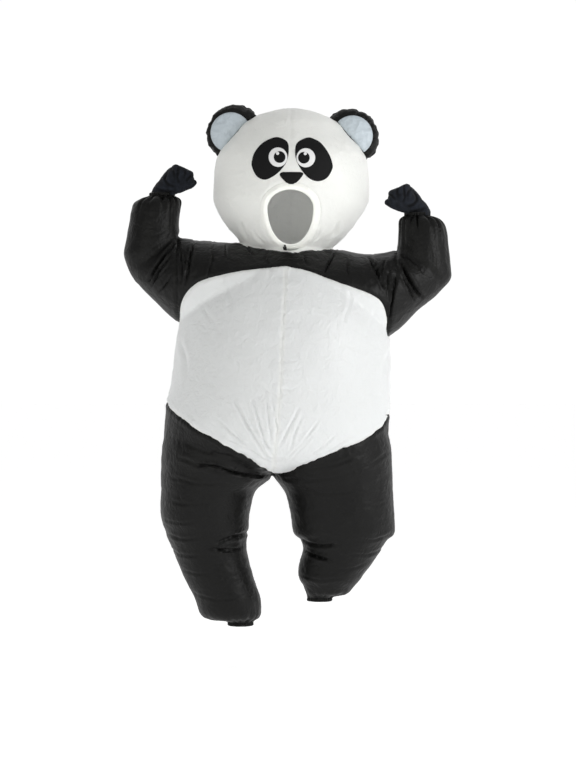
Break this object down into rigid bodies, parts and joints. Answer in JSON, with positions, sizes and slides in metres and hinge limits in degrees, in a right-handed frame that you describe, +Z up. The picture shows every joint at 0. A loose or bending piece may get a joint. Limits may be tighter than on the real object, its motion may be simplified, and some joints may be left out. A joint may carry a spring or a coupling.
{
  "type": "inflatable panda costume",
  "caption": "Filled-out hollow panda suit of nylon cloth with attached head, open face, raised bent arms, gathered wrists and ankles and paw gloves.",
  "frame": {"origin": "middle of the line across the shoulders that carries the suit", "axes": "+Z up towards the head, -Y the front, +X the viewer's right from the front"},
  "size_m": [1.082, 0.6236, 1.7141],
  "materials": {
    "white_nylon": "satin ripstop-free taffeta, off-white, slightly cool in shade",
    "black_nylon": "satin taffeta, black, soft sheen along folds",
    "grey_nylon": "satin taffeta, pale blue grey",
    "black_applique": "matte cloth, edge-stitched",
    "white_applique": "matte cloth, edge-stitched",
    "glove_knit": "fine brushed knit, blue black",
    "black_zip": "coil zip on woven tape"
  },
  "bodies": {
    "root": {"head_left_front": "white_nylon", "head_left_back": "white_nylon", "head_right_front": "white_nylon", "head_right_back": "white_nylon", "yoke_front": "black_nylon", "yoke_back": "black_nylon", "body_left_front": "white_nylon", "body_left_back": "white_nylon", "body_right_front": "white_nylon", "body_right_back": "white_nylon", "sleeve_left": "black_nylon", "sleeve_right": "black_nylon", "leg_left": "black_nylon", "leg_right": "black_nylon", "face_band": "white_nylon", "zip_end": "black_zip", "eye_patch_left": "black_applique", "eye_white_left": "white_applique", "pupil_left": "black_applique", "eye_patch_right": "black_applique", "eye_white_right": "white_applique", "pupil_right": "black_applique", "nose": "black_applique", "ear_left": "black_nylon", "ear_panel_left": "grey_nylon", "ear_right": "black_nylon", "ear_panel_right": "grey_nylon", "wrist_left_elastic": "black_nylon", "wrist_right_elastic": "black_nylon", "ankle_left_elastic": "black_nylon", "ankle_right_elastic": "black_nylon", "glove_left": "glove_knit", "glove_right": "glove_knit"}
  },
  "joints": []
}
